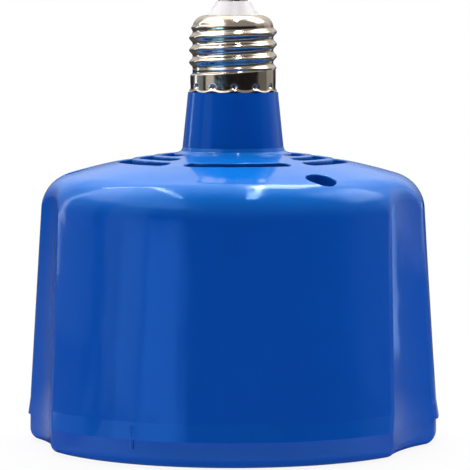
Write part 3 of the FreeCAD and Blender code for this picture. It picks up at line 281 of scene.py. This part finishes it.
def floor_paint():
    material = bpy.data.materials.new("floor_paint")
    tree = node_tree(material)
    ray = tree.nodes.new("ShaderNodeLightPath").outputs
    place = place_on(tree)
    distance = on_vector(tree, "LENGTH", place)
    parts = tree.nodes.new("ShaderNodeSeparateXYZ")
    tree.links.new(place, parts.inputs[0])

    # What lights the lamp: a bounce with less green than the grey has, and a little glow
    # round the foot for the underside of the rim
    matt = one_colour(tree, "BsdfDiffuse", (0.70, 0.70, 0.70))
    bounce = one_colour(tree, "BsdfDiffuse", (0.66, 0.34, 0.62))
    foot_glow = one_colour(tree, "Emission", (0.9, 0.85, 1.0),
                           ramp(tree, distance, 0.066, 0.084, 0.3, 0.0))
    lighting = joined(tree, "ShaderNodeAddShader", bounce, foot_glow)
    floor_colour = joined(tree, "ShaderNodeMixShader", ray["Is Diffuse Ray"], matt, lighting)

    # What the lamp mirrors: a table that darkens further out, and is bright in front
    grey_level = ramp(tree, distance, 0.09, 0.20, 0.22, 0.06)
    front_strength = folded(tree, "MULTIPLY", ramp(tree, distance, 0.061, 0.067, 0.1, 1.0),
                            ramp(tree, distance, 0.11, 0.17, 1.6, 0.0),
                            ramp(tree, parts.outputs["Y"], -0.06, -0.03, 1.0, 0.0))
    table = joined(tree, "ShaderNodeBsdfDiffuse", grey_level)
    front_glow = one_colour(tree, "Emission", WHITE, front_strength)
    reflection = joined(tree, "ShaderNodeAddShader", table, front_glow)
    floor_colour = joined(tree, "ShaderNodeMixShader", ray["Is Glossy Ray"], floor_colour,
                          reflection)

    # What the camera sees: the lamp's shadow near the foot, turning white further out
    whiteness = folded(tree, "MULTIPLY", ray["Is Camera Ray"],
                       ramp(tree, distance, 0.05, 0.30, 0.90, 1.0))
    floor_colour = joined(tree, "ShaderNodeMixShader", whiteness, floor_colour,
                          one_colour(tree, "Emission", WHITE))

    # From below the floor is clear, so that the lamp's underside can be seen
    clear = tree.nodes.new("ShaderNodeBsdfTransparent").outputs[0]
    backfacing = tree.nodes.new("ShaderNodeNewGeometry").outputs["Backfacing"]
    one_sided = joined(tree, "ShaderNodeMixShader", backfacing, floor_colour, clear)
    show(tree, "ShaderNodeOutputMaterial", one_sided)
    return material


floor_mesh = bpy.data.meshes.new("floor")
floor_mesh.from_pydata([(x, y, -FLOOR_DEPTH) for x, y in FLOOR_CORNERS], [], [(0, 1, 2, 3)])
floor = bpy.data.objects.new("floor", floor_mesh)
scene.collection.objects.link(floor)
floor.data.materials.append(floor_paint())


# Materials

NOISE_RANGE = (0.3, 0.7)  # most values of a noise texture lie between these
GRAIN_STRENGTH = 0.4
METAL_ROUGHNESS = (0.7, 1.4)  # share of the stated roughness
METAL_SHADE = 0.88
PLASTIC_ROUGHNESS = (0.85, 1.15)
PLASTIC_TINT = 1.12

# Soft sink marks of the moulded wall: azimuth from the front in degrees, then level,
# half-width, half-height and depth in millimetres
SINK_RADIUS = 61.0
SINKS = [(-22.5, 11.5, 5.0, 4.0, 0.06), (-19.5, 20.0, 4.5, 5.5, 0.05),
         (10.5, 11.0, 4.0, 4.0, 0.06), (-43.5, 25.0, 5.5, 13.0, 0.22),
         (-41.0, 12.0, 4.0, 3.5, 0.10), (44.0, 30.0, 4.0, 16.0, 0.12)]


def principled(name, colour, roughness, metallic=0.0):
    material = bpy.data.materials.new(name)
    tree = node_tree(material)
    shader = tree.nodes.new("ShaderNodeBsdfPrincipled")
    show(tree, "ShaderNodeOutputMaterial", shader.outputs[0])
    shader.inputs["Base Color"].default_value = (*colour, 1)
    shader.inputs["Roughness"].default_value = roughness
    shader.inputs["Metallic"].default_value = metallic
    return material, tree, shader


def noise(tree, scale, detail=2.0, stretch=(1, 1, 1)):
    mapping = tree.nodes.new("ShaderNodeMapping")
    mapping.inputs["Scale"].default_value = stretch
    texture = tree.nodes.new("ShaderNodeTexNoise")
    texture.inputs["Scale"].default_value = scale
    texture.inputs["Detail"].default_value = detail
    tree.links.new(place_on(tree), mapping.inputs["Vector"])
    tree.links.new(mapping.outputs["Vector"], texture.inputs["Vector"])
    return texture.outputs["Fac"]


def roughen(tree, shader, texture, low, high):
    """Let the roughness follow a texture."""
    tree.links.new(ramp(tree, texture, *NOISE_RANGE, low, high), shader.inputs["Roughness"])


def tint(tree, shader, texture, first, second):
    """Let the colour go from the first to the second with a texture."""
    node = tree.nodes.new("ShaderNodeValToRGB")
    for stop, position, colour in zip(node.color_ramp.elements, NOISE_RANGE, (first, second)):
        stop.position = position
        stop.color = (*colour, 1)
    tree.links.new(texture, node.inputs["Fac"])
    tree.links.new(node.outputs["Color"], shader.inputs["Base Color"])


def bump(tree, shader, height, distance, strength=1.0):
    node = tree.nodes.new("ShaderNodeBump")
    node.inputs["Distance"].default_value = distance
    node.inputs["Strength"].default_value = strength
    tree.links.new(height, node.inputs["Height"])
    tree.links.new(node.outputs["Normal"], shader.inputs["Normal"])


def sink_mark(tree, azimuth, level, half_width, half_height, depth):
    """Height in millimetres: minus the depth in the middle, fading to nothing at the edge."""
    turn = math.radians(azimuth)
    middle = Vector((SINK_RADIUS * math.sin(turn), -SINK_RADIUS * math.cos(turn), level)) * MM
    away = on_vector(tree, "SUBTRACT", place_on(tree), middle)
    squeezed = on_vector(tree, "MULTIPLY", away, (1, 1, half_width / half_height))
    distance = on_vector(tree, "LENGTH", squeezed)
    return ramp(tree, distance, 0.0, half_width * MM, -depth, 0.0, "SMOOTHSTEP")


def with_share(tree, first, second, share=1.0):
    """First plus a share of the second."""
    node = tree.nodes.new("ShaderNodeMath")
    node.operation = "MULTIPLY_ADD"
    node.inputs[1].default_value = share
    tree.links.new(second, node.inputs[0])
    tree.links.new(first, node.inputs[2])
    return node.outputs[0]


def shell_blue():
    material, tree, shader = principled("shell_blue", (0.004, 0.165, 0.61), 0.12)
    shader.inputs["IOR"].default_value = 1.40
    shader.inputs["Specular Tint"].default_value = (0.25, 0.52, 1.0, 1)
    broad = noise(tree, 28.0, 1.5, (1, 1, 0.35))
    tint(tree, shader, broad, (0.0036, 0.158, 0.59), (0.0044, 0.172, 0.63))
    roughen(tree, shader, noise(tree, 160.0, 3.0), 0.09, 0.15)
    # Heights in millimetres: the moulded wall waves a little and has sink marks
    height = with_share(tree, noise(tree, 16.0, 1.0), noise(tree, 60.0, 1.5, (1, 1, 0.7)), 0.45)
    height = with_share(tree, height, noise(tree, 420.0), 0.006)
    for sink in SINKS:
        height = with_share(tree, height, sink_mark(tree, *sink))
    bump(tree, shader, height, MM)
    return material


def metal(name, colour, roughness, grain=(1, 1, 1), scale=400.0, depth=0.02 * MM):
    material, tree, shader = principled(name, colour, roughness, 1.0)
    texture = noise(tree, scale, 3.0, grain)
    roughen(tree, shader, texture, *(roughness * share for share in METAL_ROUGHNESS))
    darker = tuple(METAL_SHADE * part for part in colour)
    tint(tree, shader, noise(tree, scale * 0.2, 2.0, grain), darker, colour)
    bump(tree, shader, texture, depth, GRAIN_STRENGTH)
    return material


def plastic(name, colour, roughness, scale=300.0, depth=0.03 * MM):
    material, tree, shader = principled(name, colour, roughness)
    texture = noise(tree, scale)
    roughen(tree, shader, texture, *(roughness * share for share in PLASTIC_ROUGHNESS))
    lighter = tuple(min(1.0, PLASTIC_TINT * part) for part in colour)
    tint(tree, shader, noise(tree, scale * 0.15), colour, lighter)
    bump(tree, shader, texture, depth, GRAIN_STRENGTH)
    return material


LOOKS = {
    "blue_shell": shell_blue(),
    "cap_metal": metal("nickel", (0.60, 0.54, 0.46), 0.15, scale=900.0, depth=0.001 * MM),
    "cap_white": plastic("cap_white", (0.74, 0.77, 0.73), 0.3),
    "contact_metal": metal("tinned_brass", (0.78, 0.76, 0.70), 0.28),
    "screw_steel": metal("zinc_screw", (0.60, 0.60, 0.58), 0.3),
    "guard_wire": metal("guard_plate", (0.72, 0.72, 0.72), 0.22),
    "sleeve_steel": metal("galvanised", (0.62, 0.63, 0.64), 0.35, scale=120.0),
    "duct_plastic": plastic("duct_black", (0.022, 0.022, 0.024), 0.5),
    "fan_plastic": plastic("fan_grey", (0.11, 0.11, 0.12), 0.45),
    "motor_steel": metal("motor_zinc", (0.56, 0.57, 0.58), 0.3),
    "bronze": metal("bush_bronze", (0.55, 0.36, 0.18), 0.4),
    "ferrite": plastic("ferrite", (0.06, 0.06, 0.065), 0.65),
    "armature_steel": metal("armature_steel", (0.28, 0.28, 0.29), 0.45, (1, 1, 12)),
    "copper": metal("copper", (0.72, 0.38, 0.22), 0.28),
    "mica": plastic("mica_board", (0.42, 0.36, 0.24), 0.4, 220.0),
    "coil_alloy": metal("heater_alloy", (0.36, 0.34, 0.32), 0.45),
    "steatite": plastic("steatite", (0.75, 0.72, 0.66), 0.6),
    "fuse_case": metal("fuse_case", (0.75, 0.75, 0.76), 0.3),
    "circuit_board": plastic("laminate", (0.42, 0.34, 0.16), 0.5),
    "diode_case": plastic("diode_black", (0.02, 0.02, 0.02), 0.4),
    "capacitor_case": plastic("capacitor_film", (0.45, 0.10, 0.04), 0.25),
    "live_cover": plastic("silicone_brown", (0.16, 0.05, 0.03), 0.5),
    "neutral_cover": plastic("silicone_blue", (0.03, 0.09, 0.33), 0.5),
}
for part in frame["record"]["subparts"]:
    solid = nodes[part["node"]]
    solid.data.materials.clear()
    solid.data.materials.append(LOOKS[part["material_slot"]])


# Screw cap: rolled thread, plain collar, a row of crimp marks and a scalloped lip.
# Levels and radii are in millimetres, azimuths in degrees from the front to the right.

CAP_FOOT = 104.3
CAP_TOP = 127.2
SHEET = 0.25
CAP_ROWS = 128
CAP_COLUMNS = 288

PITCH = 3.629
CREST_RADIUS = 13.1
ROOT_RADIUS = 12.05
CREST_LEVEL = 116.75  # of one crest, at the left
CREST_SHARPNESS = 1.25
THREAD_START = (110.3, 111.6)  # the thread rises and fades out between these levels
THREAD_END = (122.6, 124.4)

COLLAR_RADIUS = 12.75
COLLAR_TOP = 110.25
COLLAR_TILT = 0.8  # the thread runs out on the collar, so its top is higher at the right
COLLAR_EDGE = (-0.15, 0.45)  # where the edge eases in and out, from its middle level

SHOULDER = 123.2
MOUTH_RADIUS = 7.8
SHOULDER_ROUNDNESS = 2.2

CRIMPS = 12
CRIMP_AZIMUTH = 1.5
CRIMP_LEVEL = 105.75
CRIMP_DEPTH = 0.75
CRIMP_SPREAD = 0.42  # square of the distance over which a mark fades

LIP_HEIGHT = 0.9
LIP_FLARE = 0.34
LIP_ROUNDNESS = 1.6
SCALLOP_LIFT = 0.55
SCALLOP_SHARE = 0.12  # of the cap's height, over which the scallops fade


def smooth(low, high, value):
    """Ease from 0 to 1 as the value goes from low to high."""
    t = min(1.0, max(0.0, (value - low) / (high - low)))
    return t * t * (3 - 2 * t)


def from_crimp(azimuth):
    """Angle from the nearest crimp mark, in degrees."""
    step = 360 / CRIMPS
    return (azimuth - CRIMP_AZIMUTH + step / 2) % step - step / 2


def cap_radius(azimuth, level):
    """Outer radius of the screw cap."""
    phase = (level - CREST_LEVEL) / PITCH - (azimuth + 90) / 360
    wave = (0.5 + 0.5 * math.cos(2 * math.pi * phase)) ** CREST_SHARPNESS
    fade = smooth(*THREAD_START, level) * (1 - smooth(*THREAD_END, level))
    thread = ROOT_RADIUS + (CREST_RADIUS - ROOT_RADIUS) * wave * fade

    edge = COLLAR_TOP + COLLAR_TILT * math.sin(math.radians(azimuth))
    collar = 1 - smooth(edge + COLLAR_EDGE[0], edge + COLLAR_EDGE[1], level)
    radius = thread + (COLLAR_RADIUS - thread) * collar

    if level > SHOULDER:
        rise = min(1.0, (level - SHOULDER) / (CAP_TOP - SHOULDER))
        inward = math.sqrt(max(0.0, 1 - rise ** SHOULDER_ROUNDNESS))
        radius = MOUTH_RADIUS + (radius - MOUTH_RADIUS) * inward

    across = math.radians(from_crimp(azimuth)) * COLLAR_RADIUS
    up = level - CRIMP_LEVEL
    radius -= CRIMP_DEPTH * math.exp(-(across ** 2 + up ** 2) / CRIMP_SPREAD)

    lip = max(0.0, 1 - (level - CAP_FOOT) / LIP_HEIGHT)
    return radius + LIP_FLARE * lip ** LIP_ROUNDNESS


def cap_point(azimuth, row):
    """Corner of the cap's outside. Its foot is lifted at each crimp mark."""
    share = row / (CAP_ROWS - 1)
    level = CAP_FOOT + (CAP_TOP - CAP_FOOT) * share
    arch = abs(math.cos(math.pi * from_crimp(azimuth) * CRIMPS / 360)) ** 3
    lift = SCALLOP_LIFT * arch * (1 - smooth(0, SCALLOP_SHARE, share))
    radius = cap_radius(azimuth, level)
    turn = math.radians(azimuth)
    return Vector((radius * math.sin(turn), -radius * math.cos(turn), level + lift)) * MM


def cap_band():
    """Open band of quads round the axis. The sheet gets its thickness from a modifier."""
    corners = [cap_point(360 * column / CAP_COLUMNS, row)
               for row in range(CAP_ROWS) for column in range(CAP_COLUMNS)]
    faces = []
    for low in range(0, (CAP_ROWS - 1) * CAP_COLUMNS, CAP_COLUMNS):
        high = low + CAP_COLUMNS
        for column in range(CAP_COLUMNS):
            after = (column + 1) % CAP_COLUMNS
            faces.append((low + column, low + after, high + after, high + column))
    mesh = bpy.data.meshes.new("threaded_shell")
    mesh.from_pydata(corners, [], faces)
    mesh.shade_smooth()
    return mesh


shell = bpy.data.objects.new("threaded_shell", cap_band())
scene.collection.objects.link(shell)
wall = shell.modifiers.new("wall", "SOLIDIFY")
wall.thickness = SHEET * MM
wall.offset = -1
shell.data.materials.append(LOOKS["cap_metal"])
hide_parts("cap_shell")
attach(shell, "lamp")
